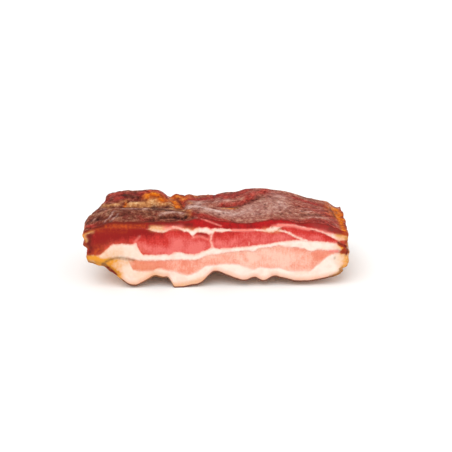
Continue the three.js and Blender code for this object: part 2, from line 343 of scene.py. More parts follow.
# %% The underside's height
RIND_WRINKLES, RIND_WRINKLE_MOST = 0.35, 0.4
RIND_WRINKLE_LENGTH, RIND_WRINKLE_WIDTH = 6, 11


def underside(x, v):
    """The rind's height with its fine wrinkles, flat where it rests on the table."""
    across = v * DEPTH / RIND_WRINKLE_WIDTH
    wrinkles = RIND_WRINKLES * rough(x / RIND_WRINKLE_LENGTH, across, seed=61)
    return np.maximum(0, border(0, x, v) + np.minimum(wrinkles, RIND_WRINKLE_MOST))


print("rind at the front, from end to end:", underside(np.linspace(-100, 100, 9), 0.0).round(1))

# %% [markdown]
# ## From the strip to space
#
# A point (x, v, z) is put in its place by sliding it along x, more the nearer it
# is to an end: that rounds the back corners, slants and swells both ends, and
# gives the ends their small lobes. Then the top edge of both ends is rounded.
# The rounding squeezes a square corner into a quarter circle, and it moves what
# lies inside along, so neighbouring layers still meet.

# %% Ends and corners
BACK_LEFT_CUT, BACK_RIGHT_CUT = 13, 0.8
# the shares of the depth between which the two back corners are cut
LEFT_CUT_OVER, RIGHT_CUT_OVER = (0.25, 0.88), (0.5, 1)
LEFT_UNDERCUT, RIGHT_TAPER = 4, 2.4
END_BULGE, END_REACH = 0.6, 5
# how uneven the ends are, in mm: so many bumps over the depth, and so many mm high
END_UNEVEN, BUMPS_ACROSS, BUMP_HEIGHT = 0.9, 7, 9
END_FOOT, END_TOP = 28, 52
# how far the ends stand out or draw in over the height: (height, mm, reach down, reach up)
LEFT_LOBES = 0, [(29, 1.8, 6, 5), (38, -1.2, 4, 2), (40.8, 1.6, 1.6, 4), (46.5, -1.2, 4, 5),
                 (56, -0.8, 6, 6)]
RIGHT_LOBES = -0.6, [(16, -3.6, 2, 1.6), (24, 0.4, 6, 8), (38, -1.2, 6, 6), (47, 0.6, 4, 6)]
LEFT_ROUNDING, RIGHT_ROUNDING = 3.2, 1.6
LOBE_REACH = 12


def end_shift(x, v, z):
    """Slide along x: the ends' cuts, slants and bulge, which grow with the fifth power of
    the distance from the far end, and their lobes, which are gone 12 mm from the end."""
    u = x / LENGTH + 0.5
    slant = ease(END_FOOT, END_TOP, z)
    bulge = END_BULGE * (1 - (2 * v - 1) ** 2)
    left = BACK_LEFT_CUT * ease(*LEFT_CUT_OVER, v) + LEFT_UNDERCUT * (1 - slant) - bulge
    right = BACK_RIGHT_CUT * ease(*RIGHT_CUT_OVER, v) + RIGHT_TAPER * slant - bulge
    uneven = END_UNEVEN * rough(v * BUMPS_ACROSS, z / BUMP_HEIGHT, seed=71)
    left_lobes = (uneven - profile(*LEFT_LOBES, z)) * ease(LOBE_REACH, 0, x - LEFT_END)
    right_lobes = (uneven - profile(*RIGHT_LOBES, z)) * ease(LOBE_REACH, 0, RIGHT_END - x)
    return left * (1 - u) ** END_REACH - right * u ** END_REACH + left_lobes - right_lobes


def round_corner(a, b, radius):
    """How far a point at the distances a and b from a corner's two sides moves inwards.
    With p = 1 - a/radius and q = 1 - b/radius it shrinks by max(p, q) / hypot(p, q)."""
    p, q = np.clip(1 - a / radius, 0, 1), np.clip(1 - b / radius, 0, 1)
    kept = np.maximum(p, q) / np.maximum(np.hypot(p, q), 1e-9)
    return radius * p * (1 - kept), radius * q * (1 - kept)


def raw_place(x, v, z):
    """Point in space before it is centred: slid along x, and y from the depth's share,
    skewed so that the front cut runs back a little towards the right."""
    return np.stack([x + end_shift(x, v, z), DEPTH * (v - 0.5) + FRONT_SKEW * x * (1 - v), z], -1)


print("the left end's foot lands at", raw_place(LEFT_END, 0.0, 5.0).round(1))

# %% The skin of a block
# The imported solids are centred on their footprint. This is its middle in the strip's
# own coordinates: x from the swell of the two ends, y from the skew of the front cut.
ENDS_SWELL = 0.116
MIDDLE = np.array([ENDS_SWELL, -FRONT_SKEW * LENGTH / 4, 0])


def place(x, v, z):
    """Point in the frame, in millimetres: its corner rounded, slid and skewed, centred,
    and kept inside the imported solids' box."""
    top = crust(x, v)
    right, down_left = round_corner(x - LEFT_END, top - z, LEFT_ROUNDING)
    left, down_right = round_corner(RIGHT_END - x, top - z, RIGHT_ROUNDING)
    spots = raw_place(x + right - left, v, z - down_left - down_right) - MIDDLE
    return np.clip(spots, np.array(cad_box[0]) / MM, np.array(cad_box[1]) / MM)


def block(columns, rows, levels):
    """Lattice points on the skin of a block of cells, as shares along its three sides,
    and the quads of its six sides, each wound so that it faces outwards."""
    shape = (columns + 1, rows + 1, levels + 1)
    spot = np.indices(shape)
    last = np.array(shape).reshape(3, 1, 1, 1) - 1
    skin = ((spot == 0) | (spot == last)).any(axis=0)
    number = np.where(skin, np.cumsum(skin).reshape(shape) - 1, -1)
    sheets = {"front": (number[:, 0, :], 1), "back": (number[:, -1, :], -1),
              "left": (number[0], -1), "right": (number[-1], 1),
              "bottom": (number[:, :, 0], -1), "top": (number[:, :, -1], 1)}
    sides = {}
    for side, (sheet, turn) in sheets.items():
        corners = sheet[:-1, :-1], sheet[1:, :-1], sheet[1:, 1:], sheet[:-1, 1:]
        sides[side] = np.stack(corners, -1).reshape(-1, 4)[:, ::turn]
    return spot[:, skin] / last.reshape(3, 1), sides


print("the skin of 2 by 2 by 2 cells has", block(2, 2, 2)[0].shape[1], "points")

# %% [markdown]
# ## What the knife laid open
#
# On a cut face one sees which tissue the knife went through. The finish needs a
# few numbers at every point: how deep it lies inside lean, how pale that lean
# is, how thick the skin above the rind is, and how much smoke, blood, bloom or
# soot coloured it. Painted textures could carry that. Here they are floats on
# the points of the mesh, worked out from the same borders as the form, so that
# colour and form can't drift apart, and they run through to the back cut.

# %% Veins of fat in the lean
# (half width, points in x and z)
VEINS = [
    (0.75, (-2.5, 54), (-4.9, 48.5), (-5.2, 43.9), (-4, 39.2), (-2, 36)),
    (0.4, (-22, 51.5), (-19.8, 48.5), (-19.4, 47.4)), (0.1, (16.8, 39.4), (16.9, 36)),
    (0.2, (27, 41.8), (27, 37)),
    (0.9, (47, 54.5), (52, 53), (57, 51.8), (62, 49.6), (68, 46), (74, 43.4), (80, 41.8)),
    (0.5, (99.5, 48.5), (103, 44.6), (104.5, 40.5)), (0.4, (103.5, 35.5), (107, 35.6)),
    (0.3, (-111.5, 50.4), (-108.6, 52.6), (-104.2, 54.2)),
    (1, (-111.6, 49), (-110.4, 46.6), (-110, 45)),
]
# places where lean grows into the fat, and fat (below 0) into the lean: (mm, width, points)
LOBES = [
    (1.2, 3, (-93, 41.8)), (-1.8, 1.8, (-68, 42.4)), (2, 2, (-65.2, 36.4), (-63.2, 34.6)),
    (-1.4, 2, (-4.6, 38.4), (-3, 36.6)), (5, 2.6, (105.6, 38.6), (108.6, 36), (107.6, 32.6)),
]
print(len(VEINS), "veins and", len(LOBES), "lobes")

# %% Lean or fat


def lean_depth(x, v, z):
    """Millimetres inside lean, negative in fat: the least of the distances to the lean's
    own borders, to the lens's left tip, and to the edge of the nearest vein. Where smoke
    stained the seam, it counts as lean."""
    _, lens_low, lens_top, fat_top, lean_top, seam_top = (border(k, x, v) for k in range(6))
    stained = ease(*SEAM_STAIN_STARTS, x) * ease(*SEAM_STAIN_ENDS, x)
    seam = mix(profile(*SEAM_SHOWN, x) / 2, -SEAM_STAIN_DEPTH, stained)
    lens = np.minimum(z - lens_low, lens_top - z)
    lens = np.minimum(lens, LENS_FADE * (x - LENS_LEFT_TIP) - LENS_TIP_SHORT)
    seam_middle = (lean_top + seam_top) / 2 + profile(*SEAM_STRAYS, x)
    red = np.minimum(z - fat_top, np.abs(z - seam_middle) - seam)
    depth = np.maximum(lens, red) + brush(LOBES, x, z)
    for half_width, *points in VEINS:
        depth = np.minimum(depth, distance(points, x, z) - half_width)
    return depth


print("mm of lean up the middle of the front cut:",
      lean_depth(0.0, 0.0, np.arange(10.0, 60, 10)).round(1))

# %% Tone and tan on the cut faces
# (strength, width, points in x and z)
FACE_TONE = [
    (-0.70, 10, (-104, 40), (-94, 50), (-80, 54), (-68, 55)), (-0.25, 6, (-92, 46), (-78, 46)),
    (0.20, 4, (-63, 44), (-61, 38)), (-0.25, 4, (-58, 53), (-46, 51)),
    (0.30, 5, (-56, 35), (-36, 36), (-14, 36)), (0.30, 6, (-34, 45), (-14, 42)),
    (-0.35, 2.2, (-13, 50.4), (-8, 49.6)), (0.25, 5, (2, 40), (14, 40)),
    (0.25, 6, (26, 48), (44, 48), (54, 47)), (0.05, 5, (70, 50), (84, 47)),
    (-0.05, 4, (92, 45), (101, 42)), (0.10, 3, (80, 46), (90, 45)),
    (-0.45, 8, (-70, 24), (-50, 22)), (-0.15, 5, (-40, 20), (-20, 22)),
    (0.08, 9, (2, 25), (14, 28)), (0.36, 8, (30, 27), (44, 31), (56, 24)),
    (0.12, 8, (68, 22), (76, 24)), (-0.20, 7, (86, 31), (94, 33)),
]
FACE_TAN = [
    (1, 2.4, (-54, 56.4), (-50, 56), (-45, 55.6)),
    (1, 1.8, (-111.5, 50.4), (-108.6, 52.6), (-104.2, 54.2)),
    (0.3, 1.8, (-40, 56), (-30, 56), (-16, 54)), (1.1, 2.4, (-112.5, 50), (-110.6, 46)),
    (0.16, 11.5, (-98, 26), (-70, 28), (-56, 8)), (0.35, 2.2, (40, 53.4), (46, 52.2), (52, 52.2)),
    (0.5, 3, (-94, 26), (-86, 26.5), (-78, 25)), (1, 2.6, (104.2, 46), (108.8, 45)),
    (0.4, 4.5, (-94, 32), (-84, 34)), (0.15, 5, (-88, 38), (-76, 36.5)),
    (0.25, 2.6, (101, 36), (104, 35.6)), (0.3, 4, (103, 26), (106, 20)),
    (0.4, 2.4, (-76, 3), (-68, 3), (-60, 6)), (0.55, 2.8, (-48, 3), (-40, 2), (-28, 3), (-12, 8)),
]
print(len(FACE_TONE), "changes of tone, and", len(FACE_TAN), "marks of tan")

# %% Amber and blood on the cut faces
FACE_AMBER = [
    (1.3, 3.4, (-113, 30), (-106, 29), (-103, 27), (-99, 25.5)),
    (0.6, 2.4, (-104, 23), (-99.8, 22.2)), (0.9, 2.2, (-97, 26.6), (-92, 27.4), (-87, 27)),
    (0.5, 2.6, (-92, 24.6), (-88, 23.6), (-84, 21.4)),
    (1.2, 3.4, (-94.5, 21.6), (-91.5, 19), (-88.4, 16), (-85.4, 13)),
    (0.65, 4, (-106, 36), (-100, 37)), (0.2, 6, (-84, 18), (-70, 12), (-50, 14)),
    (0.8, 1.5, (-112, 50.8), (-109, 53.4), (-104.2, 54.8), (-99, 55.9)),
    (0.6, 1.6, (-112, 49), (-110.5, 45)),
    (0.9, 2.2, (-98, 58.2), (-85, 59.2), (-77, 58.6), (-69, 58.2), (-60, 58.6)),
    (0.3, 4, (-97, 55.4), (-87, 56), (-76, 55)), (0.7, 2, (102, 48), (109, 48.4)),
    (1, 2, (111.5, 51), (109.4, 49.6)), (1.2, 2.8, (105.4, 38.4), (108, 36), (107, 32)),
    (0.45, 4.2, (107, 27), (109, 22)), (0.6, 3, (110.8, 27), (110.4, 22), (109.4, 18)),
    (0.5, 2, (106.6, 16), (104.5, 12.8), (101, 10.4)),
]
FACE_BLOOD = [
    (0.9, 1.6, (-111.5, 54), (-107, 56), (-100.8, 57.4), (-94.8, 58.6)),
    (1, 2.6, (-106.4, 50), (-107.4, 45.4), (-107.6, 40.6), (-109.5, 35)),
    (0.7, 1.6, (-96, 60.6), (-85, 61.6), (-74, 61.4), (-62, 61.4)),
    (0.8, 2, (-56, 61.4), (-43.2, 61.4), (-30.8, 60.2), (-21, 59)),
    (0.9, 1.3, (103.6, 40.6), (106.4, 38.8), (109.4, 38)),
    (1, 1.4, (110.6, 37), (110.6, 33.5), (109.8, 30)), (0.5, 1.8, (107, 31.8), (102, 32.8)),
    (0.3, 1, (101, 32.8), (96.5, 32.6)),
    (1, 1.5, (-97.4, 22.2), (-94.2, 19.2), (-91, 16.2), (-88.2, 13.2)),
    (0.35, 2.4, (-93.2, 20.6), (-89.8, 17.6), (-86.2, 14.2)),
    (0.5, 2.6, (70, 59.6), (79, 58), (88, 56), (97, 53.4)), (0.8, 2.4, (97, 53.4), (105, 50.2)),
]
print(len(FACE_AMBER), "marks of amber, and", len(FACE_BLOOD), "of blood")

# %% Bloom and soot on the cut faces
FACE_BLOOM = [
    (1.1, 1.1, (13.5, 53.5), (17.8, 53.3), (24.5, 52.9), (31.2, 53.2)),
    (0.6, 1.2, (46.5, 56.6), (51.5, 57.4)),
    (1.1, 1.3, (52, 57.6), (58.2, 57.4), (65.2, 56.6), (72, 54.5), (78.2, 53.2)),
    (0.5, 1.6, (84.2, 52.4), (92, 51), (97, 48.6)), (0.6, 2, (-44, 56), (-38, 56.4), (-30, 57)),
    (0.6, 1, (-69.6, 43.4), (-67.2, 45.8), (-64.8, 48.6)),
    (0.9, 0.7, (-12, 64.2), (-6.5, 61.6), (-2.2, 59.7), (3.5, 57.4)),
    (0.7, 1.2, (-20.5, 46.6), (-17.5, 47.8), (-14.2, 48.2), (-10.8, 46.9), (-8, 45.4)),
    (0.5, 1.8, (-4.9, 48.5), (-5.2, 43.9), (-4, 39.2)),
    (0.1, 3.5, (82, 56), (92, 54), (101, 51.5)), (0.9, 1.3, (102, 32.8), (95.5, 32.8)),
]
FACE_SOOT = [
    (0.8, 1.3, (-99.5, 23.5), (-95.8, 26), (-92, 28), (-87.5, 29), (-83, 29.2), (-77.8, 28.2),
     (-72, 27)),
    (0.8, 1.2, (-99, 23), (-96.6, 22.4)), (0.45, 1.8, (-111, 26.5), (-104, 24.5), (-98, 22.5)),
    (1, 1, (107.5, 17), (105.4, 13.6), (102, 10.8), (96, 8.4)),
    (0.7, 0.7, (46.5, 55.8), (47.5, 55.4)), (0.7, 0.8, (52, 54.4), (53.4, 54.2)),
    (0.6, 0.9, (-112, 41), (-109.5, 40.4)), (0.5, 0.8, (99.5, 27), (99.6, 25.8)),
]
print(len(FACE_BLOOM), "marks of bloom, and", len(FACE_SOOT), "of soot")

# %% [markdown]
# ## What the smoke left on the crust
#
# On the crust every stain has places of its own. Blood dried in the hollows and
# along the rims, and one red-brown band of it is painted shade in front of the
# right roll's fold. Fat browned to amber and tan. A pale bloom lies on the crests,
# and along the lips of the folds it is a painted highlight. Soot stayed in the
# creases and pits, and darkens them further as painted shade, also under the
# folds. Here the strokes run in x and y.

# %% Blood on the crust, and one painted shadow band
# (strength, width, points in x and y)
TOP_BLOOD_AND_SHADE = [
    (1.3, 6, (-107, 20), (-104, 26), (-97, 23), (-91, 15)),
    (0.8, 6, (-88, 20), (-79, 18), (-72, 17)),
    (1.1, 4.5, (-67, 20), (-62, 25), (-56, 26), (-50, 22)), (0.9, 3, (-47, 17), (-47, 11)),
    (1.3, 4.5, (-42, 31), (-36, 28), (-30, 27.5), (-25, 22)),
    (1.2, 4.5, (-23, 22), (-16, 20), (-10, 22), (-4, 27)), (0.6, 3, (-30, 18), (-26, 8)),
    (1.2, 4.5, (0, 26.5), (7.5, 22), (14.5, 25), (21.5, 26), (29, 31)),
    (0.7, 6, (6, 14), (14, 17), (22, 18)), (1.1, 5, (29, 12), (33, 19), (38, 20), (42, 27)),
    # The first mark below is painted shade: the red-brown band in front of the right roll's fold.
    (1, 4, (5, 2), (11, 0.5), (18, 1), (24, 3), (28, 7)), (0.5, 6, (46, 17), (54, 22), (60, 19)),
    (1.1, 4.5, (70, 21), (79, 18), (86, 18), (93, 18)), (0.5, 7, (84, 4), (98, -14)),
    (1.5, 3, (-20, -28), (-16, -30), (-10, -31.5), (-4, -32.5), (3, -34), (10, -36)),
    (1.3, 3, (-14, -36), (0, -37), (12, -38)), (0.9, 2.4, (14, -38), (40, -37.6)),
    (1.2, 5, (46, -38), (58, -36), (68, -34), (78, -34), (90, -35), (102, -36)),
    (0.55, 3.2, (-62, -33), (-48, -36), (-36, -36), (-26, -35)),
    (1, 2.6, (-112, -30), (-102, -33), (-90, -36), (-76, -37.5), (-62, -37)),
    (0.35, 10, (70, 4), (90, -8)), (1.3, 1.7, (111.5, 24), (110.8, 9), (110.6, -15), (111, -34)),
    (0.6, 2.4, (106, -8), (107, -20), (108, -32)), (0.8, 5, (84, -29), (96, -28), (103, -22)),
    (0.5, 5, (98, 12), (101, -8)), (0.9, 3.4, (-34, 19), (-31, 8)),
]
print(len(TOP_BLOOD_AND_SHADE), "marks of blood")

# %% Amber and tan on the crust
TOP_AMBER = [
    (1.2, 4.6, (-63, 14), (-59, 17), (-54, 16), (-50, 12)),
    (1.3, 3.4, (-41.5, 19), (-38.5, 15), (-35, 9), (-35, 4)),
    (0.7, 5, (-41, 30), (-36, 27), (-31, 24)), (0.3, 4, (-22, 30), (-10, 31)),
    (0.8, 1.6, (-81.5, 7), (-82, 3)), (0.4, 2.4, (-24, -20), (-23, -30)),
    (1.4, 3.6, (107, 24), (106, 17), (108.4, 10), (105.6, 4), (107.4, -4)),
    (0.45, 5, (98, 24), (100, 10), (102, -4)),
    (1.2, 2.2, (107, -6), (107.6, -16), (108.4, -28), (109, -36)),
    (0.8, 1.4, (10.5, -8.4), (14, -7.6)),
]
TOP_TAN = [
    (0.9, 2.4, (-106, 8), (-97, 4.5), (-89, 4.5)), (1.5, 2.6, (-79, 3.7), (-74, 4.3), (-67.5, 4)),
    (1.1, 2.4, (-65, 4), (-58, 3.2)), (0.7, 2.4, (-58, 3.2), (-52, 3.6), (-45, 6), (-41, 7)),
    (1, 2.6, (-61, 8), (-55, 8.5), (-49, 9)), (0.8, 2, (-87, 9.5), (-83, 10)),
    (0.7, 3, (-28, 15), (-25, 9)), (0.8, 3, (-39, 0), (-37, -8), (-30, -16)),
    (0.9, 1.6, (5, -9), (12, -8), (17, -5.5)),
]
print(len(TOP_AMBER), "marks of amber, and", len(TOP_TAN), "of tan")

# %% Bloom on the crust, with painted highlights along the lips of folds
TOP_BLOOM_AND_HIGHLIGHT = [
    (0.9, 5.5, (-20, 2), (-14, -8), (-10, -17), (0, -20), (11, -20)),
    (0.55, 5.5, (18, -18), (24, -13), (29, -7)), (0.35, 7, (30, -20), (44, -16), (56, -10)),
    (0.35, 8, (40, -2), (54, 0), (50, 12)), (0.5, 4, (2, 11.7), (8, 7)),
    (0.5, 5, (50, 20), (58, 16)), (0.8, 0.9, (-9, -19.6), (-3.5, -19.2), (2, -19.8)),
    (0.7, 1, (72, -8.5), (78, -12), (86, -5)), (0.8, 1, (74, -3), (82, -1), (90, 3)),
    (0.6, 0.9, (78.5, -25.8), (86.5, -23.2), (93.5, -22.2), (100, -19.8)),
    # The next mark is a painted highlight: the light line along the lip of the front roll's fold.
    (0.5, 1.2, (-47.5, -27.2), (-43.5, -25), (-38.5, -22.2), (-33.5, -21.2), (-28.5, -24.8)),
    (0.7, 1.2, (-104, 1.2), (-100, 1.5)),
    (0.7, 0.8, (-94, -33), (-91, -28.5), (-88, -25), (-86.5, -19.5)),
    (0.6, 0.8, (-89, -33.8), (-86, -30.5), (-83, -25)), (0.8, 1.3, (-102, 19.2)),
    (0.8, 1.2, (-102, 22.5)), (0.7, 1.2, (-96.5, 22.5)), (0.8, 1.3, (-88.5, 11.5)),
    (0.7, 2.2, (-53.5, 32), (-48.5, 28.5), (-44.5, 23)), (0.5, 1.6, (-77, 5.7)),
    (0.5, 1.6, (-68, 5)), (0.45, 2.4, (-80, -10), (-72, -12), (-66, -15), (-60, -18)),
    (0.4, 2, (-103.5, -23.5)), (0.9, 2.2, (-30, 16), (-26.5, 6), (-23.5, -3)),
    (0.5, 4, (-28, 21), (-20, 14), (-14, 10)), (1, 0.7, (-17.5, -32.2), (-12.5, -36)),
    (0.7, 1.1, (94, 25.5), (98, 23.5), (101, 21.8)),
]
print(len(TOP_BLOOM_AND_HIGHLIGHT), "marks of bloom")

# %% Soot on the crust, with painted shade in creases, pits and under folds
# Many of these marks are painted shade: in the creases, along the front of the left ridge and
# under the folds, over the real soot.
TOP_SOOT_AND_SHADE = [
    (1, 1.5, (-26, -29.2)), (1, 2.6, (-56, 0), (-50, -4), (-44, -1), (-40, -2)),
    (1.1, 3, (-58, -13), (-51, -15), (-46, -17), (-42, -18)),
    (0.45, 2.4, (-39, -19), (-31, -20.5)),
    (0.35, 2, (-47.5, -29.8), (-41, -28.4), (-34.5, -27.5), (-28.5, -29.4), (-25, -33)),
    (0.4, 1.3, (-37, 24), (-33.5, 14), (-31.5, 7)),
    (0.7, 2.2, (-88, 19.2), (-78, 14), (-72.5, 14.2)), (0.3, 5, (-106, 22), (-94, 20), (-80, 20)),
    (0.5, 1.3, (-101, -20), (-98, -23)), (0.5, 1.3, (-91.5, -19), (-89.5, -24)),
    (0.3, 3, (-82, -21), (-78, -23)), (0.5, 3, (-112, -6), (-108, 6)),
    (0.4, 2.4, (-26, -24), (-22, -30), (-18, -32)),
    (0.35, 2.2, (5, -3), (12, -4), (20, -3), (28, 2), (34, 9)),
    (0.6, 1.2, (71, -18), (82, -17), (92, -10)),
    (0.5, 2.6, (-98, -34), (-84, -36), (-66, -36), (-48, -35), (-34, -34)),
    (0.7, 1.3, (100, 14), (102, 2), (103, -6)), (0.4, 1, (106, 18), (105, 8)),
    (0.4, 1.6, (74, 29), (90, 30)),
]
# A dark mark in each pit: painted shade in the pits.
TOP_SOOT_AND_SHADE += [(0.8, 0.9 * PIT_WIDTH, tuple(place)) for place in pit_places]
print(len(TOP_SOOT_AND_SHADE), "marks of soot, with one in each pit")

# %% The numbers on the points
# (stain, its marks on the crust and on the cut faces, how strong it is over the two ends,
# and how much it comes and goes there)
STAINS = [
    ("tan", TOP_TAN, FACE_TAN, 0, 0.5),
    ("amber", TOP_AMBER, FACE_AMBER, 0.85, 0.5),
    ("blood", TOP_BLOOD_AND_SHADE, FACE_BLOOD, 0.25, 0.7),
    ("bloom", TOP_BLOOM_AND_HIGHLIGHT, FACE_BLOOM, 0, 0.1),
    ("soot", TOP_SOOT_AND_SHADE, FACE_SOOT, 0.15, 0.5),
]
STAIN_MOST, STAIN_SEED = 1.2, 89
# how far from an end its stain starts and is full, and how uneven that is: so many mm, in
# bumps so many mm high, and so many of them over the depth
END_RIM = (3.0, 0.2)
RIM_UNEVEN, RIM_BUMP_HEIGHT, RIM_BUMPS_ACROSS = 1.2, 4, 8
# how many mm the borders of lean and fat wander over the two ends, and how often
END_STRAYS, STRAYS_ACROSS = 2.2, 5
# the share of the depth over which an end's own look fades in from either cut
END_FADES_IN = (0, 0.1)
# heights between which the ends' stain fades in, at the left of a cut and over the ends,
# and how much of it an end has above them
LEFT_STAIN_BELOW, END_STAIN_BELOW, STAIN_ABOVE = (50, 44), (54, 44), 0.2
# the lean's tone, how much it falls towards the red lean's top, and over which share of it
LEAN_TONE, TONE_FALLS, TONE_FALLS_OVER = 0.62, 0.3, (0.25, 1.0)
# how proud a spot counts, in mm, where the crust's finish covers an end
END_PROUD = 0.2


def end_stains(x, v, z):
    """How stained a point is by the nearest end, and its share of that end's face, which
    is 0 on both cuts: rim·ease(share of the depth to the nearest cut)."""
    past_end = np.minimum(x - LEFT_END, RIGHT_END - x)
    uneven = RIM_UNEVEN * rough(z / RIM_BUMP_HEIGHT, v * RIM_BUMPS_ACROSS, seed=81)
    rim = ease(*END_RIM, past_end + uneven)
    on_end = rim * ease(*END_FADES_IN, np.minimum(v, 1 - v))
    on_cut = rim * np.where(x < 0, ease(*LEFT_STAIN_BELOW, z), 1)
    return mix(on_cut, mix(STAIN_ABOVE, 1, ease(*END_STAIN_BELOW, z)), on_end), on_end


def paint(x, v, z, on_crust):
    """Every number that the finish reads, over the points of one layer. Off the crust a
    stain is the greater of its marks and of the end's stain, which noise breaks up."""
    y = DEPTH * (v - 0.5)
    red_share = (z - border(3, x, v)) / (border(4, x, v) - border(3, x, v))
    at_end, on_end = end_stains(x, v, z)
    astray = END_STRAYS * on_end * rough(v * STRAYS_ACROSS, z / BUMP_HEIGHT, seed=84)
    tone = LEAN_TONE - TONE_FALLS * ease(*TONE_FALLS_OVER, red_share) + brush(FACE_TONE, x, z)
    numbers = {"lean_mm": lean_depth(x, v, z) + astray, "skin_mm": z - underside(x, v),
               "tone": tone, "crust_mm": crust(x, v) - z}
    for seed, (stain, top_marks, face_marks, strength, swing) in enumerate(STAINS, STAIN_SEED):
        broken = rough(v * BUMPS_ACROSS, z / BUMP_HEIGHT, seed, layers=4)
        from_end = strength * at_end + swing * on_end * broken
        off_crust = np.maximum(brush(face_marks, x, z), from_end)
        amount = np.where(on_crust, brush(top_marks, x, y), off_crust)
        numbers[stain] = np.clip(amount, 0, STAIN_MOST)
    numbers["crumpled"] = crumpled(x)
    numbers["proud_mm"] = np.where(on_crust, crust_relief(x, y), END_PROUD)
    return numbers


print("each point carries:", *paint(0.0, 0.0, 30.0, False))

# %% [markdown]
# ## One mesh per layer
#
# Each layer is a block of cells bent into its place: its lower and upper sheets
# follow two borders, and its four walls stand between them. One could also cut
# one big block by the borders, but then each layer would need its own repair.
# The cut faces also get what a knife leaves on soft meat: the lean sinks a
# little as it dries, the fat stands proud, and both are slightly uneven.

# %% What the knife leaves
LEAN_SINKS, SINKS_OVER = 0.35, (-0.3, 0.9)
FACE_UNEVEN, UNEVEN_LENGTH, UNEVEN_HEIGHT = 0.3, 13, 8


def cut_depth(x, v, z):
    """How far a cut face lies behind the knife's plane: lean sinks, and both are uneven."""
    sunk = LEAN_SINKS * ease(*SINKS_OVER, lean_depth(x, v, z))
    uneven = rough(x / UNEVEN_LENGTH, z / UNEVEN_HEIGHT, seed=91, layers=2)
    return np.maximum(sunk + FACE_UNEVEN * (1 + uneven) / 2, 0)


print("lean and fat lie back by", cut_depth(0.0, 0.0, np.array([30.0, 10.0])).round(2), "mm")

# %% Points and sides to a mesh


def in_scene(name, data):
    """A new object in the scene, around a mesh, a camera or a lamp."""
    made = bpy.data.objects.new(name, data)
    bpy.context.scene.collection.objects.link(made)
    return made


def smooth_sides(mesh, shares, rounded):
    """Smooth shading, with a sharp edge wherever two sides of the block meet, except at
    the rounded pairs. A point is on a side if its share there is 0 or 1."""
    on = {"left": shares[0] == 0, "right": shares[0] == 1, "front": shares[1] == 0,
          "back": shares[1] == 1, "bottom": shares[2] == 0, "top": shares[2] == 1}
    ends = np.empty(len(mesh.edges) * 2, int)
    mesh.edges.foreach_get("vertices", ends)
    ends = ends.reshape(-1, 2)
    both = {side: flags[ends].all(axis=1) for side, flags in on.items()}
    sharp = np.zeros(len(ends), bool)
    for first, second in itertools.combinations(both, 2):
        if {first, second} not in rounded:
            sharp |= both[first] & both[second]
    mesh.attributes.new("sharp_edge", "BOOLEAN", "EDGE").data.foreach_set("value", sharp)
    mesh.polygons.foreach_set("use_smooth", np.ones(len(mesh.polygons), bool))


def quad_mesh(name, spots, sides, finishes):
    """A mesh of quads through points in millimetres. finishes gives each side's material;
    what isn't named there takes the first one."""
    mesh = bpy.data.meshes.new(name)
    quads = np.concatenate(list(sides.values()))
    mesh.vertices.add(len(spots))
    mesh.vertices.foreach_set("co", (spots * MM).ravel())
    mesh.loops.add(quads.size)
    mesh.loops.foreach_set("vertex_index", quads.ravel())
    mesh.polygons.add(len(quads))
    mesh.polygons.foreach_set("loop_start", np.arange(0, quads.size, 4))
    materials = list(dict.fromkeys(finishes.values()))
    for material in materials:
        mesh.materials.append(material)
    worn = [materials.index(finishes.get(side, materials[0])) for side in sides]
    mesh.polygons.foreach_set("material_index", np.repeat(worn, [len(q) for q in sides.values()]))
    mesh.update(calc_edges=True)
    return mesh


# %% Building a layer
COLUMN, ROW = 0.8, 1.6


def layer(name, low, high, finishes, start=LEFT_END, end=RIGHT_END, row=ROW, levels=10,
          rounded=()):
    """A closed layer between two height functions, its cells about COLUMN by row mm."""
    shares, sides = block(round((end - start) / COLUMN), round(DEPTH / row), levels)
    x, v = mix(start, end, shares[0]), shares[1]
    z = mix(low(x, v), high(x, v), shares[2])
    spots = place(x, v, z)
    spots[:, 1] += cut_depth(x, v, z) * ((v == 0).astype(float) - (v == 1))
    mesh = quad_mesh(name, spots, sides, finishes)
    smooth_sides(mesh, shares, rounded)

    on_crust = (shares[2] == 1) & (high is crust)
    for key, values in paint(x, v, z, on_crust).items():
        mesh.attributes.new(key, "FLOAT", "POINT").data.foreach_set("value", values)
    print(name, len(mesh.polygons) * 2, "triangles")
    return in_scene(name, mesh)


print("a layer's cells are", COLUMN, "by", ROW, "mm")

# %% [markdown]
# ## Materials
#
# A material here is a small network of nodes: noise in real millimetres, the
# numbers on the points, and the Principled shader at its end. The colours are
# written as sRGB hex, the way a painter would pick them, and one function turns
# them into the linear light that the shader works with. Meat lets light in, so
# each material has some subsurface, red going deepest.

# %% Colours and nodes


def colour(hex_code):
    """sRGB hex to linear light: c/12.92 up to 0.04045, ((c + 0.055)/1.055)^2.4 above."""
    parts = (int(hex_code[i:i + 2], 16) / 255 for i in (1, 3, 5))
    return (*(c / 12.92 if c <= 0.04045 else ((c + 0.055) / 1.055) ** 2.4 for c in parts), 1)


def add(tree, kind, inputs=(), out=0, **settings):
    """Adds a node of one kind, applies its settings, fills or links its inputs, which are
    named or numbered, and returns one of its outputs, if any. A hex code becomes a colour."""
    made = tree.nodes.new("ShaderNode" + kind)
    for name, value in settings.items():
        setattr(made, name, value)
    for key, value in dict(inputs).items():
        if isinstance(value, bpy.types.NodeSocket):
            tree.links.new(value, made.inputs[key])
        else:
            made.inputs[key].default_value = colour(value) if isinstance(value, str) else value
    return made.outputs[out] if made.outputs else None


def new_material(name):
    """An empty material, add bound to its tree, and its Object coordinates in millimetres."""
    material = bpy.data.materials.new(name)
    material.use_nodes = True
    material.node_tree.nodes.clear()
    put = functools.partial(add, material.node_tree)
    space = put("TexCoord", out="Object")
    return material, put, put("Mapping", {"Vector": space, "Scale": (1 / MM,) * 3})


print("white is", colour("#ffffff")[:3])

